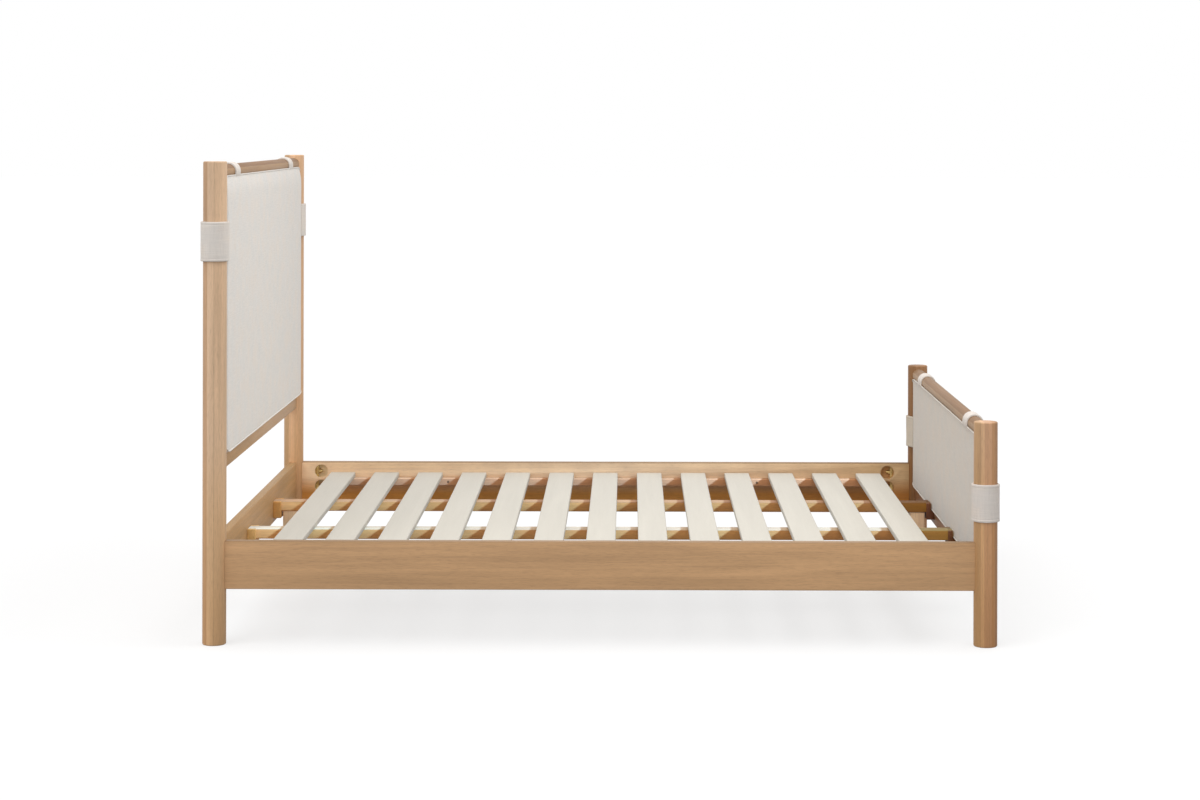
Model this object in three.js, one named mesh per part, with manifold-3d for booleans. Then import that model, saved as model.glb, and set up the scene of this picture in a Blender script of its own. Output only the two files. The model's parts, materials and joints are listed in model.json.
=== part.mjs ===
// An upholstered panel bed: a round-post oak frame with a slatted deck, and two fabric panels
// that hang from top dowels by loops and are strapped to the posts.
// Millimetres. X runs along the bed from the head (-X) to the foot (+X), Y runs across it from
// left to right as seen from the foot, and Z is up. The origin is on the floor under the middle.
import * as THREE from "three";
import { mergeVertices } from "three/addons/utils/BufferGeometryUtils.js";
import Module from "manifold-3d";

// The mattress that the frame takes, and the play left round it
const MATTRESS_LENGTH = 2030;
const MATTRESS_WIDTH = 1530;
const MATTRESS_END_PLAY = 12.5;
const MATTRESS_SIDE_PLAY = 5.5;

// Gap between pieces that seat on each other
const FIT = 0.3;

// Round posts
const POST_DIAMETER = 64;
const HEAD_POST_HEIGHT = 1302;
const FOOT_POST_HEIGHT = 605;
const POST_EDGE = 3;

// Side rails
const RAIL_THICKNESS = 25;
const RAIL_HEIGHT = 130;
const RAIL_BOTTOM = 150;
const RAIL_EDGE = 2;

// Cross rails. The head one ends level with the side rails, and the panels stand on the others.
const CROSS_RAIL_BOTTOM = 163;
const FOOT_RAIL_HEIGHT = 44;
const HEAD_PANEL_RAIL_HEIGHT = 47;
const HEAD_PANEL_RAIL_BOTTOM = 460;

// Stub tenons of the cross rails
const TENON_THICKNESS = 12;
const TENON_DEPTH = 20;
const TENON_SHOULDER = 10;

// Top dowels and their round tenons
const DOWEL_DIAMETER = 40;
const DOWEL_DROP = 30;
const DOWEL_TENON_DIAMETER = 24;
const DOWEL_TENON_DEPTH = 24;

// Upholstered panels
const HEAD_PANEL_THICKNESS = 62;
const HEAD_PANEL_TOP_THICKNESS = 42;
const HEAD_PANEL_TOP_TAPER = 50;
const HEAD_PANEL_CROWN = 4;
const FOOT_PANEL_THICKNESS = 44;
const FOOT_PANEL_TOP_THICKNESS = 42;
const FOOT_PANEL_TOP_TAPER = 40;
const FOOT_PANEL_CROWN = 3;
const PANEL_SIDE_GAP = 4;
const PANEL_LIP_DROP = 9;
const PANEL_SIDE_DEPTH = 10;
const PANEL_SIDE_DRAW = 4;
const PANEL_ROLL = 8;
const PANEL_CORNER = 22;

// Fabric straps round the posts
const STRAP_THICKNESS = 7;
const HEAD_STRAP_HEIGHT = 107;
const FOOT_STRAP_HEIGHT = 101;
const HEAD_STRAP_DROP = 162;
const FOOT_STRAP_DROP = 167;

// Fabric loops over the dowels
const LOOP_WIDTH = 72;
const LOOP_THICKNESS = 5;
const LOOP_FROM_PANEL_SIDE = 210;
const LOOP_TAIL = 12;

// Ledgers on the side rails
const LEDGER_WIDTH = 25;
const LEDGER_HEIGHT = 25;
const LEDGER_TOP = 230;
const LEDGER_POCKET_GAP = 2.5;

// Centre rails, their brackets and their legs
const CENTRE_RAIL_WIDTH = 50;
const CENTRE_RAIL_HEIGHT = 30;
const CENTRE_RAIL_SPACING = 520;
const CENTRE_RAIL_PANEL_GAP = 2;
const BRACKET_LENGTH = 24;
const BRACKET_CHEEK = 12;
const BRACKET_BASE = 21;
const LEG_SIDE = 45;
const LEG_BRACKET_GAP = 4.5;
const LEG_TENON_DIAMETER = 16;
const LEG_TENON_LENGTH = 15;

// Slats
const SLAT_COUNT = 13;
const SLAT_WIDTH = 82;
const SLAT_THICKNESS = 17;
const SLAT_END_GAP = 5.5;
const SLAT_EDGE = 2;

// Bolts and half moon nuts that draw the side rails onto the posts
const POCKET_DIAMETER = 44;
const POCKET_DEPTH = 20;
const HEAD_POCKET_FROM_POST = 94;
const FOOT_POCKET_FROM_POST = 102;
const UPPER_POCKET_DROP = 31;
const LOWER_POCKET_DROP = 82;
const BOLT_DIAMETER = 8;
const BOLT_FROM_POST_CENTRE = 10;
const BOLT_PAST_NUT = 6;
const MOON_SAGITTA = 12;
const MOON_THICKNESS = 14;
const NUT_THICKNESS = 6.5;
const NUT_ACROSS_FLATS = 13;

// How finely curves are divided
const POST_SIDES = 48;
const DOWEL_SIDES = 40;
const BORE_SIDES = 24;
const BOLT_SIDES = 16;
const EDGE_STEPS = 3;
const PANEL_COLUMNS = 14;
const PANEL_ROWS = 9;
const PANEL_CORNER_STEPS = 5;
const PANEL_SIDE_STEPS = 6;
const PANEL_SIDE_SQUARENESS = 0.6;

// Places worked out from the sizes above
const postX = MATTRESS_LENGTH / 2 + MATTRESS_END_PLAY + RAIL_THICKNESS / 2;
const postY = MATTRESS_WIDTH / 2 + MATTRESS_SIDE_PLAY + RAIL_THICKNESS / 2;
const postRadius = POST_DIAMETER / 2;
const railTop = RAIL_BOTTOM + RAIL_HEIGHT;
const crossFaceX = postX - RAIL_THICKNESS / 2;
const sideFaceY = postY - RAIL_THICKNESS / 2;
const panelSideY = postY - postRadius - PANEL_SIDE_GAP;
const dowelRadius = DOWEL_DIAMETER / 2;
const pocketHeights = {
  upper: railTop - UPPER_POCKET_DROP,
  lower: railTop - LOWER_POCKET_DROP,
};
const nearestPocket = postX - Math.max(HEAD_POCKET_FROM_POST, FOOT_POCKET_FROM_POST);
const ledgerHalf = nearestPocket - POCKET_DIAMETER / 2 - LEDGER_POCKET_GAP;
const centreRailBottom = LEDGER_TOP - CENTRE_RAIL_HEIGHT;
const bracketBottom = centreRailBottom - BRACKET_BASE;
const legX = crossFaceX - BRACKET_LENGTH - LEG_BRACKET_GAP - LEG_SIDE / 2;

// The two ends of the bed: sign along X, posts, pockets, straps and the upholstered panel there
const HEAD = {
  name: "head",
  sign: -1,
  postHeight: HEAD_POST_HEIGHT,
  pocketX: postX - HEAD_POCKET_FROM_POST,
  strapHeight: HEAD_STRAP_HEIGHT,
  strapTop: HEAD_POST_HEIGHT - HEAD_STRAP_DROP,
  panelRailTop: HEAD_PANEL_RAIL_BOTTOM + HEAD_PANEL_RAIL_HEIGHT,
  panelHalf: HEAD_PANEL_THICKNESS / 2,
  panelTopHalf: HEAD_PANEL_TOP_THICKNESS / 2,
  panelTaper: HEAD_PANEL_TOP_TAPER,
  panelCrown: HEAD_PANEL_CROWN,
};
const FOOT = {
  name: "foot",
  sign: 1,
  postHeight: FOOT_POST_HEIGHT,
  pocketX: postX - FOOT_POCKET_FROM_POST,
  strapHeight: FOOT_STRAP_HEIGHT,
  strapTop: FOOT_POST_HEIGHT - FOOT_STRAP_DROP,
  panelRailTop: CROSS_RAIL_BOTTOM + FOOT_RAIL_HEIGHT,
  panelHalf: FOOT_PANEL_THICKNESS / 2,
  panelTopHalf: FOOT_PANEL_TOP_THICKNESS / 2,
  panelTaper: FOOT_PANEL_TOP_TAPER,
  panelCrown: FOOT_PANEL_CROWN,
};
const ENDS = [HEAD, FOOT];
const SIDES = [
  { name: "left", sign: -1 },
  { name: "right", sign: 1 },
];

const dowelHeight = (end) => end.postHeight - DOWEL_DROP;

// Finish of each material
const OAK = new THREE.MeshStandardMaterial({ color: "#bf9468", roughness: 0.6, metalness: 0 });
const POPLAR = new THREE.MeshStandardMaterial({ color: "#e2dbcb", roughness: 0.7, metalness: 0 });
const LINEN = new THREE.MeshStandardMaterial({ color: "#dcd5cb", roughness: 0.95, metalness: 0 });
const YELLOW_ZINC = new THREE.MeshStandardMaterial({
  color: "#b89a5c",
  roughness: 0.35,
  metalness: 1,
});

const wasm = await Module();
wasm.setup();

const AXES = {
  X: new THREE.Vector3(1, 0, 0),
  Y: new THREE.Vector3(0, 1, 0),
  Z: new THREE.Vector3(0, 0, 1),
};
// Turns a shape drawn in XY and extruded along Z so that it is extruded along the named axis
const ALONG = {
  X: new THREE.Matrix4().makeBasis(AXES.Y, AXES.Z, AXES.X),
  Y: new THREE.Matrix4().makeBasis(AXES.Z, AXES.X, AXES.Y),
  Z: new THREE.Matrix4(),
};

// A closed geometry as a solid that can be joined and cut
function solidOf(geometry) {
  const plain = geometry.clone();
  plain.deleteAttribute("normal");
  plain.deleteAttribute("uv");
  const merged = mergeVertices(plain);
  return new wasm.Manifold(
    new wasm.Mesh({
      numProp: 3,
      vertProperties: merged.attributes.position.array,
      triVerts: new Uint32Array(merged.index.array),
    }),
  );
}

// A solid as a geometry for a mesh
function geometryOf(solid) {
  const mesh = solid.getMesh();
  const geometry = new THREE.BufferGeometry();
  geometry.setAttribute("position", new THREE.BufferAttribute(mesh.vertProperties, mesh.numProp));
  geometry.setIndex(new THREE.BufferAttribute(mesh.triVerts, 1));
  geometry.computeVertexNormals();
  return geometry;
}

// An outline extruded along an axis by a length, with its middle at a point
function extruded(along, shape, length, [x, y, z]) {
  const geometry = new THREE.ExtrudeGeometry(shape, {
    depth: length,
    bevelEnabled: false,
    curveSegments: BOLT_SIDES,
  });
  geometry.translate(0, 0, -length / 2);
  geometry.applyMatrix4(ALONG[along]);
  geometry.translate(x, y, z);
  return solidOf(geometry);
}

// A rectangle with its corners cut by a small chamfer
function easedRectangle(width, height, edge) {
  const w = width / 2;
  const h = height / 2;
  const shape = new THREE.Shape();
  shape.moveTo(-w + edge, -h);
  shape.lineTo(w - edge, -h);
  shape.lineTo(w, -h + edge);
  shape.lineTo(w, h - edge);
  shape.lineTo(w - edge, h);
  shape.lineTo(-w + edge, h);
  shape.lineTo(-w, h - edge);
  shape.lineTo(-w, -h + edge);
  shape.closePath();
  return shape;
}

// A wooden bar along an axis, with its long edges eased; size and centre are in X, Y, Z order
function bar(along, [sizeX, sizeY, sizeZ], centre, edge = RAIL_EDGE) {
  const section = { X: [sizeY, sizeZ], Y: [sizeZ, sizeX], Z: [sizeX, sizeY] }[along];
  const length = { X: sizeX, Y: sizeY, Z: sizeZ }[along];
  return extruded(along, easedRectangle(...section, edge), length, centre);
}

// A plain block between two corners
function block([x0, y0, z0], [x1, y1, z1]) {
  const geometry = new THREE.BoxGeometry(x1 - x0, y1 - y0, z1 - z0);
  geometry.translate((x0 + x1) / 2, (y0 + y1) / 2, (z0 + z1) / 2);
  return solidOf(geometry);
}

// A round rod along an axis, with its middle at a point
function rod(along, radius, length, centre, sides) {
  const geometry = new THREE.CylinderGeometry(radius, radius, length, sides);
  geometry.rotateX(Math.PI / 2);
  geometry.applyMatrix4(ALONG[along]);
  geometry.translate(...centre);
  return solidOf(geometry);
}

// The space that a post takes, grown by the fit
function postSpace(end, side) {
  const centre = [end.sign * postX, side.sign * postY, end.postHeight / 2];
  return rod("Z", postRadius + FIT, end.postHeight * 2, centre, POST_SIDES);
}

// A cross rail between two posts, coped to their round faces, with a stub tenon at each end.
// With grow set it is the space that the rail's tenons take in the posts.
function crossRail(end, bottom, height, grow = 0) {
  const x = end.sign * postX;
  const z = bottom + height / 2;
  const tenonReach = postY - postRadius + TENON_DEPTH + grow;
  const tenon = block(
    [x - TENON_THICKNESS / 2 - grow, -tenonReach, bottom + TENON_SHOULDER - grow],
    [x + TENON_THICKNESS / 2 + grow, tenonReach, bottom + height - TENON_SHOULDER + grow],
  );
  if (grow) return tenon;
  let board = bar("Y", [RAIL_THICKNESS, postY * 2, height], [x, 0, z]);
  for (const side of SIDES) board = board.subtract(postSpace(end, side));
  return board.add(tenon);
}

const headCrossRail = (grow) =>
  crossRail(HEAD, CROSS_RAIL_BOTTOM, railTop - CROSS_RAIL_BOTTOM, grow);
const headPanelRail = (grow) =>
  crossRail(HEAD, HEAD_PANEL_RAIL_BOTTOM, HEAD_PANEL_RAIL_HEIGHT, grow);
const footCrossRail = (grow) => crossRail(FOOT, CROSS_RAIL_BOTTOM, FOOT_RAIL_HEIGHT, grow);

// A top dowel between two posts, with a round tenon at each end.
// With grow set it is the space that the tenons take in the posts.
function topDowel(end, grow = 0) {
  const centre = [end.sign * postX, 0, dowelHeight(end)];
  const reach = postY - postRadius + DOWEL_TENON_DEPTH + grow;
  const tenon = rod("Y", DOWEL_TENON_DIAMETER / 2 + grow, reach * 2, centre, BORE_SIDES);
  if (grow) return tenon;
  let dowel = rod("Y", dowelRadius, postY * 2, centre, DOWEL_SIDES);
  for (const side of SIDES) dowel = dowel.subtract(postSpace(end, side));
  return dowel.add(tenon);
}

// A bolt from inside a post to just past its nut in the rail's pocket.
// With grow set it is the space that the bolt takes.
function railBolt(end, side, height, grow = 0) {
  const start = postX - BOLT_FROM_POST_CENTRE + grow;
  const nutFace = end.pocketX + POCKET_DIAMETER / 2 - FIT - MOON_SAGITTA - NUT_THICKNESS;
  const finish = nutFace - BOLT_PAST_NUT;
  const centre = [(end.sign * (start + finish)) / 2, side.sign * postY, height];
  return rod("X", BOLT_DIAMETER / 2 + grow, start - finish, centre, BOLT_SIDES);
}

// A half moon nut: a slice of a disc that seats on the pocket's round wall, with a hexagon on it
function halfMoonNut(end, side, height) {
  const radius = POCKET_DIAMETER / 2 - FIT;
  const centre = [end.sign * end.pocketX, side.sign * postY, height];
  const disc = rod("Y", radius, MOON_THICKNESS, centre, BORE_SIDES);
  const moonInner = end.pocketX + radius - MOON_SAGITTA;
  const moonOuter = end.pocketX + radius + FIT;
  const xs = [end.sign * moonInner, end.sign * moonOuter].sort((a, b) => a - b);
  const slice = block(
    [xs[0], side.sign * postY - MOON_THICKNESS, height - radius],
    [xs[1], side.sign * postY + MOON_THICKNESS, height + radius],
  );
  const hexRadius = NUT_ACROSS_FLATS / Math.sqrt(3);
  const hexCentre = [end.sign * (moonInner - NUT_THICKNESS / 2), centre[1], height];
  const hex = rod("X", hexRadius, NUT_THICKNESS + FIT, hexCentre, 6);
  return disc.intersect(slice).add(hex).subtract(railBolt(end, side, height, FIT));
}

// A round post with eased ends, its mortises and its bolt holes
function post(end, side) {
  const points = [new THREE.Vector2(0, 0)];
  for (const top of [false, true])
    for (let i = 0; i <= EDGE_STEPS; i++) {
      const angle = (Math.PI / 2) * (i / EDGE_STEPS) - (top ? 0 : Math.PI / 2);
      const x = postRadius - POST_EDGE + POST_EDGE * Math.cos(angle);
      const y = POST_EDGE * Math.sin(angle) + (top ? end.postHeight - POST_EDGE : POST_EDGE);
      points.push(new THREE.Vector2(x, y));
    }
  points.push(new THREE.Vector2(0, end.postHeight));
  const geometry = new THREE.LatheGeometry(points, POST_SIDES);
  geometry.rotateX(Math.PI / 2);
  geometry.translate(end.sign * postX, side.sign * postY, 0);
  let solid = solidOf(geometry);
  const rails = end === HEAD ? [headCrossRail, headPanelRail] : [footCrossRail];
  for (const rail of rails) solid = solid.subtract(rail(FIT));
  solid = solid.subtract(topDowel(end, FIT));
  for (const height of Object.values(pocketHeights))
    solid = solid.subtract(railBolt(end, side, height, FIT));
  return solid;
}

// A side rail, coped to its posts, with bolt pockets in its inner face
function sideRail(side) {
  const y = side.sign * postY;
  const z = RAIL_BOTTOM + RAIL_HEIGHT / 2;
  let board = bar("X", [postX * 2, RAIL_THICKNESS, RAIL_HEIGHT], [0, y, z]);
  for (const end of ENDS) {
    board = board.subtract(postSpace(end, side));
    for (const height of Object.values(pocketHeights)) {
      const pocketY = side.sign * sideFaceY;
      const pocketCentre = [end.sign * end.pocketX, pocketY, height];
      const pocket = rod("Y", POCKET_DIAMETER / 2, POCKET_DEPTH * 2, pocketCentre, DOWEL_SIDES);
      board = board.subtract(pocket).subtract(railBolt(end, side, height, FIT));
    }
  }
  return board;
}

// Half the thickness of an end's panel at a height, before its crown
function panelHalfAt(end, z) {
  const top = dowelHeight(end) - PANEL_LIP_DROP;
  const into = THREE.MathUtils.clamp((top - z) / end.panelTaper, 0, 1);
  return end.panelTopHalf + (end.panelHalf - end.panelTopHalf) * Math.sin((into * Math.PI) / 2);
}

// How far a rounded edge draws back at a depth from where the rounding starts
function drawnBack(radius, depth) {
  const left = radius - THREE.MathUtils.clamp(depth, 0, radius);
  return radius - Math.sqrt(radius ** 2 - left ** 2);
}

// One level of a panel: a closed ring of points round it, its long faces crowned along Y
function panelRing(end, z, bottom, top, grow) {
  const rise = (z - bottom) / (top - bottom);
  const inset = drawnBack(PANEL_ROLL, z - bottom);
  const corner = drawnBack(PANEL_CORNER, Math.min(z - bottom, top - z));
  const drawn = Math.max(corner, inset) + PANEL_SIDE_DRAW * Math.sin(Math.PI * rise);
  const halfWidth = panelSideY - drawn + grow;
  const faceEnd = halfWidth - PANEL_SIDE_DEPTH;
  const edge = panelHalfAt(end, z) - inset + grow;
  const ring = [];
  for (const face of [1, -1]) {
    for (let i = 0; i <= PANEL_COLUMNS; i++) {
      const across = (2 * i) / PANEL_COLUMNS - 1;
      const crown = end.panelCrown * (1 - across ** 2) * Math.sin(Math.PI * rise);
      ring.push([face * (edge + crown), face * across * faceEnd]);
    }
    for (let i = 1; i < PANEL_SIDE_STEPS; i++) {
      const angle = (Math.PI * i) / PANEL_SIDE_STEPS;
      const x = Math.sign(Math.cos(angle)) * Math.abs(Math.cos(angle)) ** PANEL_SIDE_SQUARENESS;
      const y = Math.sin(angle) ** PANEL_SIDE_SQUARENESS;
      ring.push([face * edge * x, face * (faceEnd + PANEL_SIDE_DEPTH * y)]);
    }
  }
  return ring.map(([x, y]) => [end.sign * postX + x, y, z]);
}

// An upholstered panel as rings from its bottom, whose edge rolls in, to its lips at the dowel,
// with the four corners of its long faces rounded.
// With grow set it is the space that the panel takes from the fabric pieces sewn to it.
function panelBody(end, grow = 0) {
  const bottom = end.panelRailTop + FIT - grow;
  const top = dowelHeight(end) - PANEL_LIP_DROP + grow;
  const corner = [];
  for (let i = 0; i < PANEL_CORNER_STEPS; i++) {
    const angle = (Math.PI / 2) * (i / PANEL_CORNER_STEPS);
    corner.push(PANEL_CORNER * (1 - Math.cos(angle)));
  }
  const between = top - bottom - PANEL_CORNER * 2;
  const levels = corner.map((depth) => bottom + depth);
  for (let i = 0; i <= PANEL_ROWS; i++) {
    levels.push(bottom + PANEL_CORNER + (between * i) / PANEL_ROWS);
  }
  levels.push(...corner.map((depth) => top - depth).reverse());
  const rings = levels.map((z) => panelRing(end, z, bottom, top, grow));
  const count = rings[0].length;
  const positions = rings.flat();
  const bottomCentre = positions.length;
  positions.push([end.sign * postX, 0, bottom], [end.sign * postX, 0, top]);
  const faces = [];
  for (let i = 0; i < count; i++) {
    const next = (i + 1) % count;
    for (let row = 0; row + 1 < rings.length; row++) {
      const low = row * count;
      const high = low + count;
      faces.push(low + i, low + next, high + next, low + i, high + next, high + i);
    }
    const last = (rings.length - 1) * count;
    faces.push(bottomCentre, next, i, bottomCentre + 1, last + i, last + next);
  }
  const geometry = new THREE.BufferGeometry();
  geometry.setAttribute("position", new THREE.Float32BufferAttribute(positions.flat(), 3));
  geometry.setIndex(faces);
  return solidOf(geometry);
}

// The panel itself, with a groove along its top that the dowel lies in
function panel(end) {
  const centre = [end.sign * postX, 0, dowelHeight(end)];
  const groove = rod("Y", dowelRadius + FIT, postY * 2, centre, DOWEL_SIDES);
  return panelBody(end).subtract(groove);
}

// A strap: a band round the post whose ends run in to the panel's side
function strap(end, side) {
  const radius = postRadius + FIT + STRAP_THICKNESS;
  const bottom = end.strapTop - end.strapHeight;
  const middle = end.strapTop - end.strapHeight / 2;
  const panelSide = postY - panelSideY + PANEL_SIDE_DEPTH;
  const panelHalf = panelHalfAt(end, middle) + FIT;
  const fromPost = Math.hypot(panelSide, panelHalf);
  const tangent = Math.acos(radius / fromPost) + Math.atan2(panelHalf, panelSide);
  const shape = new THREE.Shape();
  shape.moveTo(-panelSide, -panelHalf);
  shape.absarc(0, 0, radius, -Math.PI + tangent, Math.PI - tangent, false);
  shape.lineTo(-panelSide, panelHalf);
  shape.closePath();
  const geometry = new THREE.ExtrudeGeometry(shape, {
    depth: end.strapHeight,
    bevelEnabled: false,
    curveSegments: DOWEL_SIDES / 2,
  });
  geometry.rotateZ((side.sign * Math.PI) / 2);
  geometry.translate(end.sign * postX, side.sign * postY, bottom);
  return solidOf(geometry).subtract(postSpace(end, side)).subtract(panelBody(end, FIT));
}

// A loop: a band over the dowel whose tails are sewn to the panel's faces
function loop(end, side) {
  const radius = dowelRadius + FIT + LOOP_THICKNESS;
  const z = dowelHeight(end);
  const shape = new THREE.Shape();
  shape.moveTo(-radius, -PANEL_LIP_DROP - LOOP_TAIL);
  shape.lineTo(radius, -PANEL_LIP_DROP - LOOP_TAIL);
  shape.absarc(0, 0, radius, 0, Math.PI, false);
  shape.closePath();
  const geometry = new THREE.ExtrudeGeometry(shape, {
    depth: LOOP_WIDTH,
    bevelEnabled: false,
    curveSegments: DOWEL_SIDES / 2,
  });
  geometry.rotateX(Math.PI / 2);
  const y = side.sign * (panelSideY - LOOP_FROM_PANEL_SIDE);
  geometry.translate(end.sign * postX, y + LOOP_WIDTH / 2, z);
  const dowel = rod("Y", dowelRadius + FIT, postY * 2, [end.sign * postX, 0, z], DOWEL_SIDES);
  return solidOf(geometry).subtract(dowel).subtract(panelBody(end, FIT));
}

// A ledger on a side rail's inner face
function ledger(side) {
  const y = side.sign * (sideFaceY - FIT - LEDGER_WIDTH / 2);
  const z = LEDGER_TOP - LEDGER_HEIGHT / 2;
  return bar("X", [ledgerHalf * 2, LEDGER_WIDTH, LEDGER_HEIGHT], [0, y, z]);
}

// A centre rail from the head cross rail to the foot panel, bored for its legs
function centreRail(side, legs) {
  const start = -crossFaceX + FIT;
  const finish = postX - FOOT.panelHalf - CENTRE_RAIL_PANEL_GAP;
  const y = (side.sign * CENTRE_RAIL_SPACING) / 2;
  const size = [finish - start, CENTRE_RAIL_WIDTH, CENTRE_RAIL_HEIGHT];
  let board = bar("X", size, [(start + finish) / 2, y, LEDGER_TOP - CENTRE_RAIL_HEIGHT / 2]);
  for (const end of legs) board = board.subtract(legTenon(end, side, FIT));
  return board;
}

// The round tenon on top of a centre leg, or with grow set the hole that it takes
function legTenon(end, side, grow = 0) {
  const centre = [end.sign * legX, (side.sign * CENTRE_RAIL_SPACING) / 2, centreRailBottom];
  const length = (LEG_TENON_LENGTH + grow) * 2;
  return rod("Z", LEG_TENON_DIAMETER / 2 + grow, length, centre, BORE_SIDES);
}

// A centre leg from the floor to the underside of its rail
function centreLeg(end, side) {
  const height = centreRailBottom - FIT;
  const y = (side.sign * CENTRE_RAIL_SPACING) / 2;
  const leg = bar("Z", [LEG_SIDE, LEG_SIDE, height], [end.sign * legX, y, height / 2]);
  return leg.add(legTenon(end, side));
}

// A bracket on a cross rail's inner face: a block with a seat for the centre rail's end.
// At the foot it is cut back above the cross rail, where the panel stands proud of it.
function bracket(end, side) {
  const y = (side.sign * CENTRE_RAIL_SPACING) / 2;
  const half = CENTRE_RAIL_WIDTH / 2 + FIT;
  const back = end.sign * (crossFaceX - FIT);
  const middleX = back - (end.sign * BRACKET_LENGTH) / 2;
  const height = LEDGER_TOP - bracketBottom;
  const size = [BRACKET_LENGTH, (half + BRACKET_CHEEK) * 2, height];
  const body = bar("X", size, [middleX, y, bracketBottom + height / 2]);
  const seat = block(
    [middleX - BRACKET_LENGTH, y - half, centreRailBottom - FIT],
    [middleX + BRACKET_LENGTH, y + half, LEDGER_TOP + FIT],
  );
  const seated = body.subtract(seat);
  if (end === HEAD) return seated;
  const panelFace = postX - FOOT.panelHalf - CENTRE_RAIL_PANEL_GAP;
  const panelSpace = block(
    [panelFace, y - half - BRACKET_CHEEK - FIT, FOOT.panelRailTop - FIT],
    [postX, y + half + BRACKET_CHEEK + FIT, LEDGER_TOP + FIT],
  );
  return seated.subtract(panelSpace);
}

// A slat across the ledgers and the centre rails
function slat(index) {
  const pitch = (ledgerHalf * 2 - SLAT_WIDTH) / (SLAT_COUNT - 1);
  const x = -ledgerHalf + SLAT_WIDTH / 2 + index * pitch;
  const length = (sideFaceY - SLAT_END_GAP) * 2;
  const z = LEDGER_TOP + FIT + SLAT_THICKNESS / 2;
  return bar("Y", [SLAT_WIDTH, length, SLAT_THICKNESS], [x, 0, z], SLAT_EDGE);
}

const bed = new THREE.Group();

function place(name, solid, material) {
  const mesh = new THREE.Mesh(geometryOf(solid), material);
  mesh.name = name;
  bed.add(mesh);
}

// Legs stand under the right-hand centre rail alone
const legsUnder = (side) => (side.name === "right" ? ENDS : []);

place("head_cross_rail", headCrossRail(), OAK);
place("head_panel_rail", headPanelRail(), OAK);
place("foot_cross_rail", footCrossRail(), OAK);

for (const end of ENDS) {
  place(`${end.name}_top_dowel`, topDowel(end), OAK);
  place(`${end.name}_panel`, panel(end), LINEN);
  for (const side of SIDES) {
    place(`post_${end.name}_${side.name}`, post(end, side), OAK);
    place(`${end.name}_strap_${side.name}`, strap(end, side), LINEN);
    place(`${end.name}_loop_${side.name}`, loop(end, side), LINEN);
    place(`rail_bracket_${end.name}_${side.name}`, bracket(end, side), OAK);
    for (const [level, height] of Object.entries(pocketHeights)) {
      const corner = `${end.name}_${side.name}_${level}`;
      place(`rail_bolt_${corner}`, railBolt(end, side, height), YELLOW_ZINC);
      place(`half_moon_nut_${corner}`, halfMoonNut(end, side, height), YELLOW_ZINC);
    }
  }
}

for (const side of SIDES) {
  place(`side_rail_${side.name}`, sideRail(side), OAK);
  place(`ledger_${side.name}`, ledger(side), OAK);
  place(`centre_rail_${side.name}`, centreRail(side, legsUnder(side)), OAK);
  for (const end of legsUnder(side)) place(`centre_leg_${end.name}`, centreLeg(end, side), OAK);
}

for (let index = 0; index < SLAT_COUNT; index++) {
  place(`slat_${String(index + 1).padStart(2, "0")}`, slat(index), POPLAR);
}

export default bed;
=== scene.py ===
"""Looks of the upholstered panel bed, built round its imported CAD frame.

Metres. +X runs from the head to the foot, +Y to the right as seen from the foot, and +Z up.
Colours are 8-bit screen colours, and a tint is a factor for each of red, green and blue.
"""

import json
import math
import random

import bmesh
import bpy
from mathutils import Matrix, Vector, noise

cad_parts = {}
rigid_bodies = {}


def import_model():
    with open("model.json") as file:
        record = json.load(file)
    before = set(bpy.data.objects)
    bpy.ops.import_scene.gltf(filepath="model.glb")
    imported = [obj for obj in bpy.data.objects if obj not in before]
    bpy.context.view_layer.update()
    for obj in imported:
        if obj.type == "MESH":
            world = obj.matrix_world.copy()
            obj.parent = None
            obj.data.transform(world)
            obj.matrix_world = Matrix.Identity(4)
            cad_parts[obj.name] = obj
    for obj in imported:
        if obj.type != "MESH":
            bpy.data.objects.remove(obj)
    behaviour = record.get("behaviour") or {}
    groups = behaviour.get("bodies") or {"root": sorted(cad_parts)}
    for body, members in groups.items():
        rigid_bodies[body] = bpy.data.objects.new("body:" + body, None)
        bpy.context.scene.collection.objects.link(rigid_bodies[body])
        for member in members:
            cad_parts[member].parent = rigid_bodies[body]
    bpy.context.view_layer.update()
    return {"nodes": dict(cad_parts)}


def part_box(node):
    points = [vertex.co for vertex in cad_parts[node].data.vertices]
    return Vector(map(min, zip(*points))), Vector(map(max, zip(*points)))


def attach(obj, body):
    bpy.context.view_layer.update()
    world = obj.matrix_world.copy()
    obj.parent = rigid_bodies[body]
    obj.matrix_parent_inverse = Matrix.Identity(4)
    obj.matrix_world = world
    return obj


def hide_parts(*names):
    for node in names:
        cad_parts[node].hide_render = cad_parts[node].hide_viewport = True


MM = 0.001
ENDS = ("head", "foot")
SIDES = ("left", "right")
OUTWARD = {"left": -1, "right": 1}
UNTINTED = (1.0, 1.0, 1.0)

# Camera, as solved from the photograph's perspective
CAMERA_PLACE = (0.078, -7.4093, 1.3959)
CAMERA_YAW = 0.0026
CAMERA_ROLL = -0.0021
CAMERA_LENS = 73.7
CAMERA_SENSOR = 36.0
CAMERA_SHIFT = (-0.01933, -0.22717)
CAMERA_REACH = 200

# Light: toward points from the bed to a far light, and its width is an angle in degrees
TOP_LIGHT = {"toward": (0.05, -0.1, 1), "strength": 0.6, "width": 80}
FRONT_LIGHT = {"toward": (-0.9, -0.9, 0.9), "strength": 0.8, "width": 50}
INNER_LIGHT = {"place": (0.8, -0.4, 2.6), "facing": (-1.0, 0.05, -0.9), "size": 1.6, "power": 20}
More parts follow.
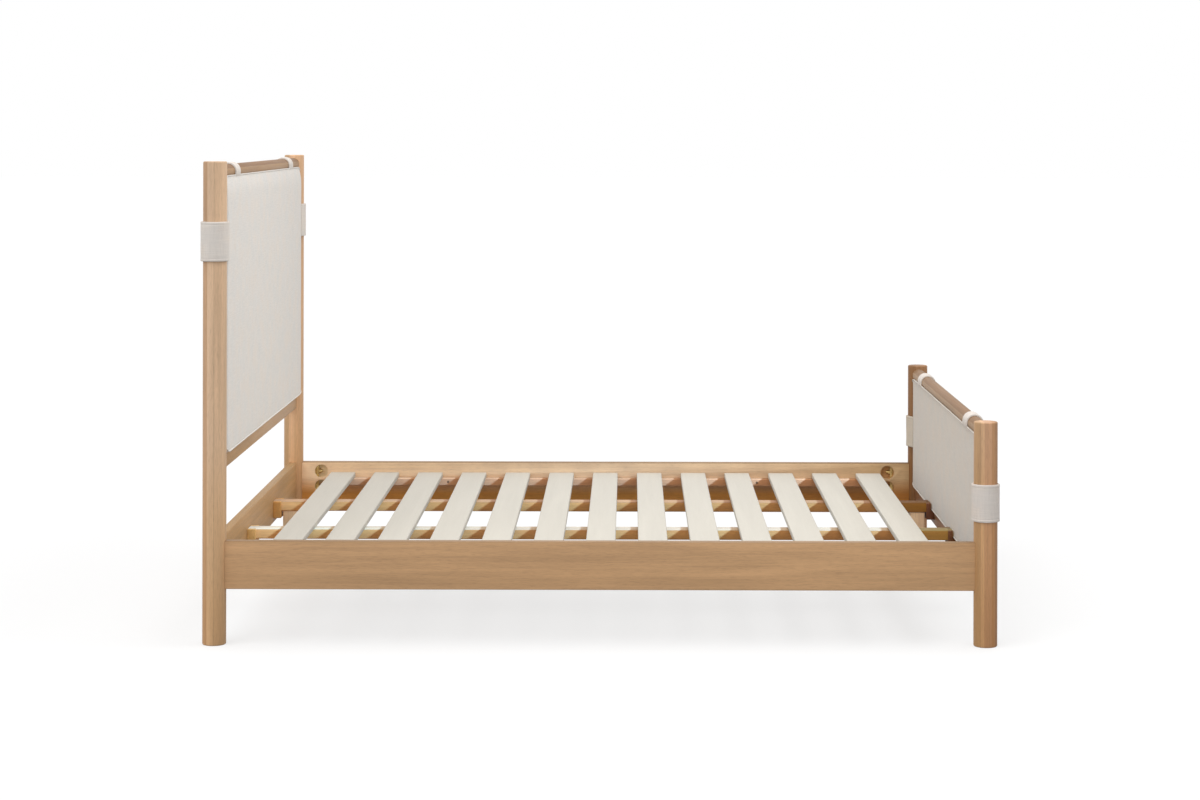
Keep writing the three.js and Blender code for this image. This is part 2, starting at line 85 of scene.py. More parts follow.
# The low sun that throws the slats' slanted shadows on the wood under them
SLAT_SUN = {"toward": (1.35, -0.7, 1.0), "strength": 16, "width": 6}
SLAT_SUN_TINT = (0.26, 0.53, 1.0)
UNDER_SLATS = ("ledger_right_finished", "centre_rail_left_finished", "centre_rail_right_finished")
WORLD_STRENGTH = 0.8
FLOOR_REACH = 60.0
FLOOR_GLOW = 0.64
FLOOR_SHADE = 0.33
FLOOR_BOUNCE = 0.35

# Wood grain: each part's rates are counts per metre along and across it, and its weight says
# how much it sways the tone. The dark, middle and light tones lie at the stops
GRAIN_BROAD = {"rates": (1.3, 17), "detail": 2.0, "roughness": 0.5, "distortion": 0.4}
GRAIN_BANDS = {"rates": (2.2, 75), "detail": 2.0, "roughness": 0.5, "distortion": 0.9}
GRAIN_FIBRE = {"rates": (7, 240), "detail": 4.0, "roughness": 0.6}
GRAIN_PORES = {"rates": (45, 900), "detail": 2.0, "roughness": 0.5}
BROAD_WEIGHT = 0.56
BANDS_WEIGHT = 0.26
FIBRE_WEIGHT = 0.18
GRAIN_STOPS = (0.3, 0.5, 0.68)
GRAIN_SHIFT = 40
GRAIN_RELIEF = 0.25 * MM
GRAIN_BUMP = 0.6
FIBRE_HEIGHT = 0.5
FIBRE_RANGE = (0.3, 0.7)
PORE_RANGE = (0.36, 0.48)
ROUGHNESS_FALL = 0.06
ROUGHNESS_RISE = 0.08
# A wood's spread of tones about its middle one, its roughness and how dark its pores are
OAK = {"spread": 0.24, "roughness": 0.52, "pores": 0.14}
POPLAR = {"spread": 0.05, "roughness": 0.6, "pores": 0.03}

# Cloth: its thread, its unevenness in counts per metre, and the tints of its warm and cool spots
THREAD = 1.9 * MM
SLUB_RATES = (18, 330)
NAP_RATE = 700
MOTTLE_RATE = 14
MOTTLE_LAYER = 3
MOTTLE_STOPS = (0.38, 0.5, 0.62)
CLOTH_WARM = (1.015, 0.995, 0.975)
CLOTH_COOL = (0.975, 0.99, 1.0)
SLUB_HEIGHT = 1.6
NAP_HEIGHT = 0.6
CLOTH_RELIEF = 0.35 * MM
CLOTH_BUMP = 0.7
# The covers are one linen: the head cover's lighter colour is painted light, the foot cover's
# darker colour painted shade
COVER_COLOURS = {"head": (235, 230, 224), "foot": (212, 204, 195)}
COVER_SEED = 11
# The bands are one linen, told apart by painted light and shade: the foot bands darker, and the
# far foot strap darker still, in the shade by the foot panel
BAND_COLOURS = {"head": (230, 222, 214), "foot": (222, 213, 205)}
FAR_FOOT_STRAP_SHADE_COLOUR = (203, 191, 175)
BAND_SEED = 23

# Metal: its turning marks and stains in counts per metre, and how far the marks sway its gloss
MARKS_RATE = 900
MARKS_RANGE = (0.3, 0.7)
GLOSS_FALL = 0.08
GLOSS_RISE = 0.12
STAIN_RATE = 160
STAIN_TINT = (0.62, 0.58, 0.5)
STAIN_STOPS = (0.35, 0.6)
METAL_RELIEF = 0.05 * MM
METAL_BUMP = 0.5
ZINC_COLOUR = (214, 184, 124)
ZINC_ROUGHNESS = 0.34
ZINC_EDGE = 0.25 * MM
SCREW_COLOUR = (72, 60, 50)
SCREW_ROUGHNESS = 0.45

# Smoothing of a CAD node's form, with angles in degrees
JOIN_REACH = 0.02 * MM
FLAT_ANGLE = 0.4
ARRIS_ANGLE = 30
ARRIS_SEGMENTS = 2
# Edges that turn by more than this stay sharp, in degrees
FINISHED_SHARP = 32
ROD_SHARP = 40
SLAT_SHARP = 35
BAND_SHARP = 60
SCREW_SHARP = 35

# Posts, and the tints of the strips that each is glued up from, by share of its width.
# The tints are partly the strips' own tones and partly painted shade toward the posts' shaded
# edges
POST_EDGE = 3.5 * MM
POST_SIDES = 112
POST_SEED = 31
POST_COLOURS = {
    "post_head_left": (216, 183, 150),
    "post_head_right": (222, 183, 146),
    "post_foot_left": (203, 163, 126),
    # The far foot post's darker colour is painted shade, for it stands in shade by the foot panel
    "post_foot_right": (150, 110, 74),
}
POST_STRIPS_AND_SHADE = {
    "post_head_left": [
        (0.0, (0.82, 0.73, 0.66)),
        (0.24, (1.04, 1.03, 1.03)),
        (0.52, (0.86, 0.85, 0.84)),
        (0.56, (1.0, 0.98, 0.96)),
    ],
    "post_head_right": [
        (0.0, (0.78, 0.76, 0.70)),
        (0.30, (1.02, 1.0, 1.0)),
        (0.60, (0.92, 0.88, 0.84)),
    ],
    "post_foot_left": [
        (0.0, (0.88, 0.88, 0.82)),
        (0.24, (1.10, 1.10, 1.08)),
        (0.38, (0.92, 0.86, 0.86)),
        (0.70, (0.82, 0.72, 0.62)),
        (0.86, (0.64, 0.55, 0.45)),
    ],
    "post_foot_right": [
        (0.0, (0.82, 0.78, 0.70)),
        (0.35, UNTINTED),
        (0.70, (1.1, 1.05, 1.0)),
    ],
}
# Painted shade: toward the floor every post is darker and browner
POST_FLOOR_SHADE = [(0.0, (0.87, 0.78, 0.62)), (0.5, (0.94, 0.88, 0.76)), (1.0, UNTINTED)]
POST_FLOOR_SHADE_RANGE = (100 * MM, 550 * MM)

# Top dowels, which are darker along their tops and run a little way into the posts
DOWEL_EDGE = 1 * MM
DOWEL_SIDES = 80
DOWEL_SEED = 41
DOWEL_INTO_POST = 4 * MM
DOWEL_COLOURS = {"head": (160, 125, 88), "foot": (163, 131, 98)}
# Tints up a dowel, from its bottom to its top: a painted darkening along the top
DOWEL_TOP_DARKENING = [
    (0.0, (0.95, 0.95, 0.95)),
    (0.35, UNTINTED),
    (0.72, (0.70, 0.62, 0.54)),
]
ROD_EDGE_STEPS = 5

# Boards, with each one's grain axis and middle colour. Besides the wood's tone the colours
# carry painted light and shade: the far side rail, far ledger, centre rails, legs and head
# brackets are lighter as painted light, and the foot cross rail and foot brackets darker as
# painted shade
BOARD_EDGE = 0.8 * MM
BOARD_SEED = 60
BOARDS = {
    "side_rail_left": ("X", (192, 152, 111)),
    "side_rail_right": ("X", (236, 203, 167)),
    "head_cross_rail": ("Y", (187, 147, 100)),
    "head_panel_rail": ("Y", (184, 145, 102)),
    "foot_cross_rail": ("Y", (138, 92, 56)),
    "ledger_left": ("X", (216, 176, 132)),
    "ledger_right": ("X", (236, 202, 162)),
    "centre_rail_left": ("X", (246, 232, 210)),
    "centre_rail_right": ("X", (232, 202, 164)),
    "centre_leg_head": ("Z", (250, 216, 176)),
    "centre_leg_foot": ("Z", (240, 200, 160)),
    "rail_bracket_head_left": ("Y", (232, 192, 126)),
    "rail_bracket_head_right": ("Y", (232, 176, 104)),
    "rail_bracket_foot_left": ("Y", (104, 62, 32)),
    "rail_bracket_foot_right": ("Y", (104, 58, 30)),
}
# Painted light and shade up a board, as shares of its height and the tint from there on:
# darker tops against the top light, a lighter face on the head cross rail, paler tops on the
# centre rails, the far side rail darker low down in the shade under the slats, and the wood
# under the slats darkened to suit the slat sun
BOARD_SHADE_RISES = {
    "side_rail_left": [(0.975, UNTINTED), (0.99, (0.62, 0.64, 0.66))],
    "head_cross_rail": [(0.0, (1.06, 1.05, 1.04)), (0.985, (0.82, 0.83, 0.84))],
    "side_rail_right": [
        (0.20, (0.84, 0.50, 0.16)),
        (0.60, UNTINTED),
        (0.975, UNTINTED),
        (0.99, (0.38, 0.32, 0.24)),
    ],
    "ledger_right": [
        (0.0, (0.68, 0.46, 0.35)),
        (0.25, (0.67, 0.43, 0.31)),
        (0.97, (0.46, 0.31, 0.22)),
    ],
    "centre_rail_left": [(0.0, (0.87, 0.44, 0.17)), (0.92, (0.70, 0.53, 0.38))],
    "centre_rail_right": [(0.0, (1.02, 0.70, 0.38)), (0.92, (0.63, 0.44, 0.31))],
}
# Painted light and shade along a board from the head to the foot: lighter toward the head,
# and darker at the foot, in the footboard's shadow
BOARD_SHADE_RUNS = {
    "side_rail_right": [
        (0.0, (1.12, 1.10, 1.06)),
        (0.5, (0.97, 1.02, 1.08)),
        (0.8, (0.84, 0.82, 0.78)),
        (1.0, (0.62, 0.55, 0.43)),
    ],
    "centre_rail_left": [
        (0.05, (0.85, 0.88, 0.88)),
        (0.25, (0.66, 0.66, 0.66)),
        (0.92, (0.66, 0.66, 0.66)),
        (0.955, (0.27, 0.19, 0.08)),
    ],
    "centre_rail_right": [
        (0.05, (0.74, 0.66, 0.58)),
        (0.25, (0.68, 0.61, 0.53)),
        (0.92, (0.68, 0.61, 0.53)),
        (0.955, (0.19, 0.10, 0.025)),
    ],
}

# Freshly bored wood in the side rails' bolt pockets, lighter at the head as painted light
# against the shade in the pockets, and the skin outside that stays as it is
POCKET_REACH = 23.5 * MM
POCKET_SKIN = 2 * MM
POCKET_COLOURS = {"head": (252, 232, 190), "foot": (205, 155, 100)}
POCKET_SEED = 80

# Slats
SLAT_EDGE = 3.5 * MM
SLAT_EDGE_SEGMENTS = 4
SLAT_COLOUR = (202, 197, 186)
SLAT_SEED = 90

# Straps and loops of doubled cloth
BAND_THICKNESS = 4.4 * MM
BAND_RIM_SHARE = 0.35
BAND_ROUNDING = 0.5
BAND_COLUMNS = 26
BAND_RIPPLE = 0.5 * MM
RIPPLE_RATE = 30
RIPPLE_LAYER = 5
EDGE_WANDER = 0.012
EDGE_WANDER_RATE = 22
LOWER_EDGE_SHARE = 0.6
BAND_NOISE_STEP = (7.3, 1.7, 0.0)
HEM_WIDTH = 8 * MM
HEM_SWELL = 0.3 * MM
HEM_ROLL = 2 * MM
HEM_ROLL_SHARES = (0.3, 0.7)
STITCH_GROOVE = 0.45 * MM
STITCH_REACH = 1.6 * MM
STRAP_CLEARANCE = {"head": 2.2 * MM, "foot": 1.2 * MM}
STRAP_TUCK = 3 * MM
STRAP_ARC_STEPS = 48
STRAP_STRAIGHT_STEPS = 8
STRAP_SEEDS = {"head": 3, "foot": 8}
LOOP_CLEARANCE = 0.5 * MM
LOOP_TAIL = 15 * MM
LOOP_TUCK = 5 * MM
# The tuck and the drop of each point of a loop's tail, as shares of the two above
LOOP_TAIL_SHARES = ((1.0, 1.0), (0.35, 0.8), (0.0, 0.55))
LOOP_ARC_STEPS = 36
LOOP_SEEDS = {"head": 13, "foot": 18}
SIDE_SEEDS = {"left": 1, "right": 2}

# Upholstered panels, as half their thickness, the depth of their thinner top, and their edges
PANEL_HALF = {"head": 31 * MM, "foot": 22 * MM}
PANEL_TOP_HALF = 21 * MM
PANEL_TAPER = {"head": 50 * MM, "foot": 40 * MM}
PANEL_ROWS = {"head": 36, "foot": 18}
PANEL_COLUMNS = 68
PANEL_ROLL = 8 * MM
PANEL_CORNER = 22 * MM
PANEL_LIP = 2 * MM
PANEL_BASE_SHARES = (0.0, 0.5)
PANEL_ROLL_ANGLES = (0, 30, 60)
PANEL_TOP_SHARES = (0.965, 0.9, 0.8, 0.6, 0.35, 0.0)
PANEL_SIDE_DEPTH = 10 * MM
PANEL_SIDE_STEPS = 6
PANEL_SIDE_SQUARENESS = 0.6
PANEL_SIDE_JOIN = 0.05 * MM
PANEL_SLACK = 1.5 * MM
PANEL_SWELL = 6 * MM
PANEL_UNEVEN = 0.45 * MM
UNEVEN_RATE = 9
FINE_UNEVEN_RATE = 26
FINE_UNEVEN_SHARE = 0.5
UNEVEN_PLACE = {"head": (7, 3, 1), "foot": (2, 9, 4)}
CLOTH_QUALITY = 6
CLOTH_FRAMES = 20
CLOTH_PRESSURE = 4.0
WELT_RADIUS = 1.9 * MM
WELT_STAND = 0.7 * MM
WELT_OUTWARD = 0.3
WELT_SIDES = 8
WELT_CLOSEST = 1 * MM

# Screws: the head's outline as shares of its radius and heights, and its cross recess as shares
# for the reach and the half width of an arm. A ledger screw has a place along X and a turn
SCREW_RADIUS = 4 * MM
SCREW_SIDES = 28
SCREW_TOP = 0.3 * MM
SCREW_OUTLINE = ((0.6, -2.4 * MM), (1.0, -0.1 * MM), (0.9, SCREW_TOP))
RECESS_MOUTH = (0.58, 0.13)
RECESS_BED = (0.4, 0.09)
RECESS_DEPTH = 1.6 * MM
LEDGER_SCREWS = ((-0.522, 0.4), (-0.0095, 1.4), (0.503, 2.4))
RAIL_SCREW_INSET = 7 * MM
RAIL_SCREW_TURN = 0.7

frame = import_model()
nodes = frame["nodes"]


def srgb(colour):
    """A screen colour as the linear colour that a shader takes."""
    values = []
    for value in colour:
        value /= 255
        values.append(value / 12.92 if value <= 0.04045 else ((value + 0.055) / 1.055) ** 2.4)
    return (*values, 1.0)


def times(colour, tint):
    """A linear colour times a tint."""
    return (*(value * factor for value, factor in zip(colour, tint)), 1.0)


def tones_of(colour, spread):
    """The dark, middle and light linear colours of a wood."""
    middle = srgb(colour)
    dark = times(middle, [1 - spread] * 3)
    light = [min(value, 1.0) for value in times(middle, [1 + spread] * 3)]
    return dark, middle, light


class Graph:
    """The node tree of a material or a world, with short ways to add and join its nodes."""

    def __init__(self, owner):
        owner.use_nodes = True
        self.owner = owner
        self.tree = owner.node_tree

    def feed(self, node, inputs):
        """Sets each of a node's inputs to a value, or joins another node's output to it."""
        for key, source in inputs.items():
            if isinstance(source, bpy.types.NodeSocket):
                self.tree.links.new(source, node.inputs[key])
            else:
                node.inputs[key].default_value = source

    def add(self, kind, inputs=None, **settings):
        node = self.tree.nodes.new(kind)
        for key, value in settings.items():
            setattr(node, key, value)
        self.feed(node, inputs or {})
        return node

    def split(self, vector):
        return self.add("ShaderNodeSeparateXYZ", {"Vector": vector}).outputs

    def stretched(self, source, scale, offset=(0, 0, 0)):
        """Coordinates scaled by counts per metre along each axis."""
        inputs = {"Vector": source, "Scale": scale, "Location": offset}
        return self.add("ShaderNodeMapping", inputs).outputs["Vector"]

    def noise(self, vector, detail, roughness=0.55, distortion=0.0):
        inputs = {
            "Vector": vector,
            "Scale": 1.0,
            "Detail": detail,
            "Roughness": roughness,
            "Distortion": distortion,
        }
        return self.add("ShaderNodeTexNoise", inputs).outputs["Fac"]

    def ramp(self, source, stops, blend="LINEAR"):
        """A colour that changes at these stops as the source runs from 0 to 1."""
        node = self.add("ShaderNodeValToRGB", {"Fac": source})
        node.color_ramp.interpolation = blend
        elements = node.color_ramp.elements
        stops = list(stops)
        while len(elements) < len(stops):
            elements.new(0.5)
        for element, (place, colour) in zip(elements, stops):
            element.position = place
            element.color = colour
        return node.outputs["Color"]

    def value_ramp(self, source, low, high, start=0.0, end=1.0):
        """A number that runs from one value to another as the source runs between two."""
        inputs = {
            "Value": source,
            "From Min": start,
            "From Max": end,
            "To Min": low,
            "To Max": high,
        }
        return self.add("ShaderNodeMapRange", inputs).outputs["Result"]

    def maths(self, operation, *sources):
        inputs = dict(enumerate(sources))
        return self.add("ShaderNodeMath", inputs, operation=operation).outputs["Value"]

    def multiply_colour(self, colour, factor):
        """A colour darkened or lightened by a number."""
        inputs = {0: colour, "Scale": factor}
        return self.add("ShaderNodeVectorMath", inputs, operation="SCALE").outputs["Vector"]

    def tinted(self, colour, place, axis, low, high, stops, blend="CONSTANT"):
        """A colour times the tints that follow one another along an axis between two places."""
        share = self.value_ramp(self.split(place)[axis], 0.0, 1.0, low, high)
        tint = self.ramp(share, [(start, (*tone, 1.0)) for start, tone in stops], blend)
        inputs = {0: colour, 1: tint}
        return self.add("ShaderNodeVectorMath", inputs, operation="MULTIPLY").outputs["Vector"]

    def bump(self, height, distance, strength):
        inputs = {"Height": height, "Distance": distance, "Strength": strength}
        return self.add("ShaderNodeBump", inputs).outputs["Normal"]

    def shade(self, inputs):
        """Gives the material's shader its inputs, and returns the material."""
        self.feed(self.tree.nodes["Principled BSDF"], inputs)
        return self.owner


def along_grain(axis, rates):
    """Rates along and across the grain as a scale for X, Y and Z."""
    along, across = rates
    return [along if letter == axis else across for letter in "XYZ"]


def wood(name, axis, colour, seed, tints=(), kind=OAK):
    """Wood whose grain runs along an axis: growth bands, fibres and short dark pores.

    tints are changes of colour across it, each as tinted takes them; most of them are painted
    light and shade.
    """
    graph = Graph(bpy.data.materials.new(name))
    place = graph.add("ShaderNodeTexCoord").outputs["Object"]
    rng = random.Random(seed)
    offset = tuple(rng.uniform(-GRAIN_SHIFT, GRAIN_SHIFT) for _ in range(3))

    def grain(rates, **settings):
        stretched = graph.stretched(place, along_grain(axis, rates), offset)
        return graph.noise(stretched, **settings)

    broad = grain(**GRAIN_BROAD)
    fibre = grain(**GRAIN_FIBRE)
    bands = grain(**GRAIN_BANDS)
    pores = grain(**GRAIN_PORES)

    tone = graph.maths("MULTIPLY", broad, BROAD_WEIGHT)
    tone = graph.maths("ADD", tone, graph.maths("MULTIPLY", fibre, FIBRE_WEIGHT))
    tone = graph.maths("ADD", tone, graph.maths("MULTIPLY", bands, BANDS_WEIGHT))
    look = graph.ramp(tone, zip(GRAIN_STOPS, tones_of(colour, kind["spread"])))
    pitted = graph.value_ramp(pores, 1 - kind["pores"], 1.0, *PORE_RANGE)
    look = graph.multiply_colour(look, pitted)
    for tint in tints:
        look = graph.tinted(look, place, *tint)

    smoothest = kind["roughness"] - ROUGHNESS_FALL
    roughest = kind["roughness"] + ROUGHNESS_RISE
    sheen = graph.value_ramp(fibre, smoothest, roughest, *FIBRE_RANGE)
    height = graph.maths("ADD", graph.maths("MULTIPLY", fibre, FIBRE_HEIGHT), pitted)
    return graph.shade(
        {
            "Base Color": look,
            "Roughness": sheen,
            "Specular IOR Level": 0.35,
            "Normal": graph.bump(height, GRAIN_RELIEF, GRAIN_BUMP),
        }
    )


def cloth(name, colour, seed):
    """A plain weave with uneven threads. Its coordinates are the cloth's own, in metres."""
    graph = Graph(bpy.data.materials.new(name))
    coordinates = graph.add("ShaderNodeUVMap", uv_map="cloth").outputs["UV"]
    per_metre = 1 / THREAD
    counts = graph.split(graph.stretched(coordinates, (per_metre, per_metre, 1)))

    def wave(axis):
        return graph.maths("SINE", graph.maths("MULTIPLY", counts[axis], math.pi))

    def uneven(rate_x, rate_y, offset, detail, roughness=0.55):
        stretched = graph.stretched(coordinates, (rate_x, rate_y, 1), offset)
        return graph.noise(stretched, detail, roughness)

    threads = graph.maths("ABSOLUTE", graph.maths("MULTIPLY", wave("X"), wave("Y")))
    along, across = SLUB_RATES
    slubs_x = uneven(along, across, (seed, 0, 0), 2.0)
    slubs_y = uneven(across, along, (0, seed, 0), 2.0)
    nap = uneven(NAP_RATE, NAP_RATE, (seed, seed, 0), 3.0, 0.7)
    mottle = uneven(MOTTLE_RATE, MOTTLE_RATE, (seed, MOTTLE_LAYER, 0), 3.0, 0.6)
    slubs = graph.maths("MULTIPLY", graph.maths("ADD", slubs_x, slubs_y), 0.5)

    tone = srgb(colour)
    tones = (times(tone, CLOTH_COOL), tone, times(tone, CLOTH_WARM))
    look = graph.ramp(mottle, zip(MOTTLE_STOPS, tones))
    slub_shade = graph.value_ramp(slubs, low=0.95, high=1.04, start=0.38, end=0.62)
    nap_shade = graph.value_ramp(nap, low=0.95, high=1.04, start=0.35, end=0.65)
    thread_shade = graph.value_ramp(threads, low=0.93, high=1.02)
    shade = graph.maths("MULTIPLY", slub_shade, nap_shade)
    shade = graph.maths("MULTIPLY", shade, thread_shade)
    height = graph.maths("ADD", threads, graph.maths("MULTIPLY", slubs, SLUB_HEIGHT))
    height = graph.maths("ADD", height, graph.maths("MULTIPLY", nap, NAP_HEIGHT))
    return graph.shade(
        {
            "Base Color": graph.multiply_colour(look, shade),
            "Normal": graph.bump(height, CLOTH_RELIEF, CLOTH_BUMP),
            "Roughness": 0.95,
            "Specular IOR Level": 0.15,
            "Sheen Weight": 0.12,
            "Sheen Roughness": 0.5,
        }
    )


def metal(name, colour, roughness):
    """Plated steel with faint turning marks and stains."""
    graph = Graph(bpy.data.materials.new(name))
    place = graph.add("ShaderNodeTexCoord").outputs["Object"]
    marks = graph.noise(graph.stretched(place, [MARKS_RATE] * 3), 3.0, 0.6)
    stain = graph.noise(graph.stretched(place, [STAIN_RATE] * 3), 2.0, 0.5)
    tone = srgb(colour)
    smoothest = roughness - GLOSS_FALL
    roughest = roughness + GLOSS_RISE
    return graph.shade(
        {
            "Base Color": graph.ramp(stain, zip(STAIN_STOPS, (times(tone, STAIN_TINT), tone))),
            "Roughness": graph.value_ramp(marks, smoothest, roughest, *MARKS_RANGE),
            "Metallic": 1.0,
            "Normal": graph.bump(marks, METAL_RELIEF, METAL_BUMP),
        }
    )


def object_of(name, mesh, material):
    """A new object of a mesh in one material."""
    piece = bpy.data.objects.new(name, mesh)
    bpy.context.scene.collection.objects.link(piece)
    mesh.materials.clear()
    mesh.materials.append(material)
    return piece


def mesh_of(name, builder, sharp_degrees=None):
    """A smooth-shaded mesh from a bmesh, with edges past an angle left sharp."""
    mesh = bpy.data.meshes.new(name)
    builder.to_mesh(mesh)
    builder.free()
    mesh.polygons.foreach_set("use_smooth", [True] * len(mesh.polygons))
    if sharp_degrees is not None:
        mesh.set_sharp_from_angle(angle=math.radians(sharp_degrees))
    mesh.update()
    return mesh


def stand_for(piece, node):
    """The piece takes a CAD node's place and moves with the bed."""
    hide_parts(node)
    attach(piece, "root")
    return piece


def centre_of(node):
    """The middle of a CAD node's box."""
    low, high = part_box(node)
    return (low + high) / 2


def radius_of(node, axis):
    """Half of a round node's width along an axis."""
    low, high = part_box(node)
    return (getattr(high, axis) - getattr(low, axis)) / 2


def skin(builder, first, second):
    """Faces between two rings of vertices."""
    for item in range(len(first)):
        after = (item + 1) % len(first)
        builder.faces.new((first[item], first[after], second[after], second[item]))


def cloth_skin(builder, cloth_map, first, second):
    """Faces of cloth between two rows of points, each a vertex and its place on the cloth."""
    for item in range(len(first) - 1):
        corners = (first[item], first[item + 1], second[item + 1], second[item])
        face = builder.faces.new([vertex for vertex, _, _ in corners])
        for corner, (_, along, across) in zip(face.loops, corners):
            corner[cloth_map].uv = (along, across)


def eased_copy(node, material, edge):
    """A CAD node's form with its facets joined and its arrises rounded."""
    builder = bmesh.new()
    builder.from_mesh(nodes[node].data)
    bmesh.ops.remove_doubles(builder, verts=builder.verts, dist=JOIN_REACH)
    bmesh.ops.dissolve_limit(
        builder,
        angle_limit=math.radians(FLAT_ANGLE),
        verts=builder.verts,
        edges=builder.edges,
    )
    sharpest = math.radians(ARRIS_ANGLE)
    arrises = [e for e in builder.edges if e.is_manifold and e.calc_face_angle() > sharpest]
    bmesh.ops.bevel(
        builder,
        geom=arrises,
        offset=edge,
        segments=ARRIS_SEGMENTS,
        profile=0.5,
        affect="EDGES",
        clamp_overlap=True,
    )
    mesh = mesh_of(node, builder, FINISHED_SHARP)
    return stand_for(object_of(f"{node}_finished", mesh, material), node)


def turned_rod(name, axis, centre, radius, low, high, edge, sides):
    """A round rod along Y or Z, with rounded ends; centre is its place on the other two axes."""
    profile = []
    for place, sign, steps in (
        (low, -1, range(ROD_EDGE_STEPS + 1)),
        (high, 1, range(ROD_EDGE_STEPS, -1, -1)),
    ):
        for step in steps:
            angle = math.pi / 2 * step / ROD_EDGE_STEPS
            inset = edge * (1 - math.sin(angle))
            profile.append((radius - inset, place - sign * edge * (1 - math.cos(angle))))
    builder = bmesh.new()
    rings = []
    for ring_radius, place in profile:
        ring = []
        for side in range(sides):
            angle = 2 * math.pi * side / sides
            u = ring_radius * math.cos(angle)
            v = ring_radius * math.sin(angle)
            if axis == "Y":
                point = (centre[0] + v, place, centre[1] + u)
            else:
                point = (centre[0] + u, centre[1] + v, place)
            ring.append(builder.verts.new(point))
        rings.append(ring)
    for lower, upper in zip(rings, rings[1:]):
        skin(builder, lower, upper)
    builder.faces.new(rings[0][::-1])
    builder.faces.new(rings[-1])
    bmesh.ops.recalc_face_normals(builder, faces=builder.faces)
    return mesh_of(name, builder, ROD_SHARP)


def turned_post(node, number):
    """A round post glued up from strips, with painted shade toward the floor."""
    low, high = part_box(node)
    middle = centre_of(node)
    place = (middle.x, middle.y)
    radius = radius_of(node, "x")
    mesh = turned_rod(node, "Z", place, radius, low.z, high.z, POST_EDGE, POST_SIDES)
    tints = [
        ("X", low.x, high.x, POST_STRIPS_AND_SHADE[node]),
        ("Z", *POST_FLOOR_SHADE_RANGE, POST_FLOOR_SHADE, "LINEAR"),
    ]
    material = wood(f"oak_{node}", "Z", POST_COLOURS[node], POST_SEED + number, tints)
    stand_for(object_of(f"{node}_turned", mesh, material), node)


def turned_dowel(end, number):
    """The dowel over a panel, from post to post."""
    node = f"{end}_top_dowel"
    low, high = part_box(node)
    middle = centre_of(node)
    place = (middle.x, middle.z)
    radius = radius_of(node, "z")
    post = f"post_{end}_right"
    post_low, post_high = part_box(post)
    inner = (post_low.y + post_high.y) / 2 - radius_of(post, "y")
    reach = inner + DOWEL_INTO_POST
    mesh = turned_rod(node, "Y", place, radius, -reach, reach, DOWEL_EDGE, DOWEL_SIDES)
    tints = [("Z", low.z, high.z, DOWEL_TOP_DARKENING)]
    material = wood(f"oak_{node}", "Y", DOWEL_COLOURS[end], DOWEL_SEED + number, tints)
    stand_for(object_of(f"{node}_turned", mesh, material), node)


def board(node, number):
    """A board with its own tone, and its painted light and shade if it has any."""
    axis, colour = BOARDS[node]
    low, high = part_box(node)
    tints = []
    if node in BOARD_SHADE_RISES:
        blend = "LINEAR" if node.startswith("side_rail") else "CONSTANT"
        tints.append(("Z", low.z, high.z, BOARD_SHADE_RISES[node], blend))
    if node in BOARD_SHADE_RUNS:
        tints.append(("X", low.x, high.x, BOARD_SHADE_RUNS[node], "LINEAR"))
    material = wood(f"oak_{node}", axis, colour, BOARD_SEED + number, tints)
    eased_copy(node, material, BOARD_EDGE)


def line_pockets(side, end, material):
    """Gives the faces in a side rail's bolt pockets at one end their own wood, lighter at the head
    as painted light.
    """
    rail = bpy.data.objects[f"side_rail_{side}_finished"]
    rail.data.materials.append(material)
    slot_number = len(rail.data.materials) - 1
    low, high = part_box(f"side_rail_{side}")
    outer = max(abs(low.y), abs(high.y)) - POCKET_SKIN
    start = f"half_moon_nut_{end}_{side}"
    nuts = [centre_of(node) for node in nodes if node.startswith(start)]
    for face in rail.data.polygons:
        middle = face.center
        near = any(math.hypot(middle.x - nut.x, middle.z - nut.z) < POCKET_REACH for nut in nuts)
        if near and abs(middle.y) < outer:
            face.material_index = slot_number


def slat(node, number):
    """A slat planed from poplar, with rounded edges."""
    low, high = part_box(node)
    size = high - low
    middle = centre_of(node)
    builder = bmesh.new()
    bmesh.ops.create_cube(builder, size=1.0)
    for vertex in builder.verts:
        vertex.co = Vector([middle[i] + vertex.co[i] * size[i] for i in range(3)])
    bmesh.ops.bevel(
        builder,
        geom=builder.edges[:],
        offset=SLAT_EDGE,
        segments=SLAT_EDGE_SEGMENTS,
        profile=0.5,
        affect="EDGES",
    )
    mesh = mesh_of(node, builder, SLAT_SHARP)
    material = wood(f"poplar_{node}", "Y", SLAT_COLOUR, SLAT_SEED + number, (), POPLAR)
    stand_for(object_of(f"{node}_planed", mesh, material), node)


def band_height(from_edge):
    """How far a band's outer face stands from its inner one at a distance from its edge."""
    rounding = min(1.0, max(0.0, from_edge / (BAND_THICKNESS * BAND_ROUNDING)))
    rise = (1 - BAND_RIM_SHARE) * math.sqrt(1 - (1 - rounding) ** 2)
    body = BAND_THICKNESS * (BAND_RIM_SHARE + rise)
    hem = HEM_SWELL if from_edge < HEM_WIDTH else 0.0
    near_stitch = abs(from_edge - HEM_WIDTH)
    groove = STITCH_GROOVE * max(0.0, 1 - near_stitch / STITCH_REACH)
    return body + hem - groove


